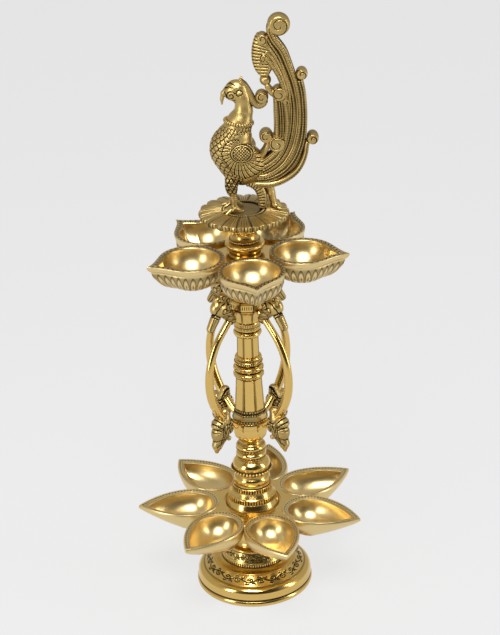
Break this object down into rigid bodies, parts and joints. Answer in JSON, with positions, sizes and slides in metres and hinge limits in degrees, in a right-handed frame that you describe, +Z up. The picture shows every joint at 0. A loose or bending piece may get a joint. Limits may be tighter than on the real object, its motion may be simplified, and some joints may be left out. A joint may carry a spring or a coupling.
{
  "type": "standing oil lamp",
  "caption": "Standing brass oil lamp: round footed base, two tiers of leaf-shaped wick bowls, turned column with bowed bird-head arms, and a peacock finial on a lotus seat.",
  "frame": {"origin": "centre of the foot's bottom rim on the table, on the lamp's vertical axis", "axes": "+Z up along the lamp's axis, -Y the front, the peacock faces -X"},
  "size_m": [0.1934, 0.1958, 0.5232],
  "materials": {
    "polished_brass": "polished, with faint hand-buffing marks",
    "satin_brass": "satin, slightly redder where it reflects",
    "antique_brass": "antique, with dark recesses",
    "machined_brass": "machined"
  },
  "bodies": {
    "column": {"arm_lower_bird_1": "antique_brass", "arm_lower_bird_2": "antique_brass", "arm_lower_bird_3": "antique_brass", "arm_lower_bird_4": "antique_brass", "arm_rod_1": "satin_brass", "arm_rod_2": "satin_brass", "arm_rod_3": "satin_brass", "arm_rod_4": "satin_brass", "arm_upper_bird_1": "antique_brass", "arm_upper_bird_2": "antique_brass", "arm_upper_bird_3": "antique_brass", "arm_upper_bird_4": "antique_brass", "capital": "antique_brass", "capital_neck": "antique_brass", "shaft_bands": "antique_brass", "shaft_knurl": "antique_brass", "shaft_lower": "antique_brass", "shaft_upper": "antique_brass", "stem_bulb": "antique_brass", "stem_collar": "antique_brass", "stem_foot": "antique_brass", "stem_rings": "antique_brass"},
    "base": {"base_foot": "antique_brass", "base_neck": "satin_brass"},
    "column_stud": {"column_stud": "machined_brass"},
    "finial_stud": {"finial_stud": "machined_brass"},
    "finial": {"lotus_seat": "antique_brass", "peacock_body": "antique_brass", "peacock_crest": "antique_brass", "peacock_drape": "antique_brass", "peacock_leg_left": "antique_brass", "peacock_leg_right": "antique_brass", "peacock_tail": "antique_brass", "peacock_tail_prop": "antique_brass", "peacock_wing_left": "antique_brass", "peacock_wing_right": "antique_brass"},
    "lower_tier": {"lower_diya_1": "polished_brass", "lower_diya_2": "polished_brass", "lower_diya_3": "polished_brass", "lower_diya_4": "polished_brass", "lower_diya_5": "polished_brass", "lower_diya_6": "polished_brass", "lower_diya_7": "polished_brass", "lower_hub": "satin_brass"},
    "spool": {"neck_spool": "satin_brass"},
    "spool_stud": {"spool_stud": "machined_brass"},
    "upper_tier": {"upper_diya_1": "polished_brass", "upper_diya_2": "polished_brass", "upper_diya_3": "polished_brass", "upper_diya_4": "polished_brass", "upper_diya_5": "polished_brass", "upper_hub": "antique_brass"}
  },
  "joints": [
    {"name": "lower_tier_turn", "type": "hinge", "parent": "base", "child": "lower_tier", "pos_m": [0, 0, 0.0745], "axis": [0, 0, 1], "continuous": true},
    {"name": "column_rise", "type": "slide", "parent": "base", "child": "column_stud", "axis": [0, 0, 1], "range_m": [0, 0.01]},
    {"name": "column_turn", "type": "hinge", "parent": "column_stud", "child": "column", "pos_m": [0, 0, 0.0785], "axis": [0, 0, 1], "range_deg": [0, 2880]},
    {"name": "spool_rise", "type": "slide", "parent": "column", "child": "spool_stud", "axis": [0, 0, 1], "range_m": [0, 0.01]},
    {"name": "spool_turn", "type": "hinge", "parent": "spool_stud", "child": "spool", "pos_m": [0, 0, 0.309], "axis": [0, 0, 1], "range_deg": [0, 2880]},
    {"name": "finial_rise", "type": "slide", "parent": "spool", "child": "finial_stud", "axis": [0, 0, 1], "range_m": [0, 0.007]},
    {"name": "finial_turn", "type": "hinge", "parent": "finial_stud", "child": "finial", "pos_m": [0, 0, 0.3477], "axis": [0, 0, 1], "range_deg": [0, 2520]},
    {"name": "upper_tier_turn", "type": "hinge", "parent": "column", "child": "upper_tier", "pos_m": [0, 0, 0.3095], "axis": [0, 0, 1], "continuous": true}
  ],
  "couplings": [
    {"joint": "column_turn", "follows": "column_rise", "rad_per_m": 5026.5},
    {"joint": "spool_turn", "follows": "spool_rise", "rad_per_m": 5026.5},
    {"joint": "finial_turn", "follows": "finial_rise", "rad_per_m": 6283.2}
  ]
}
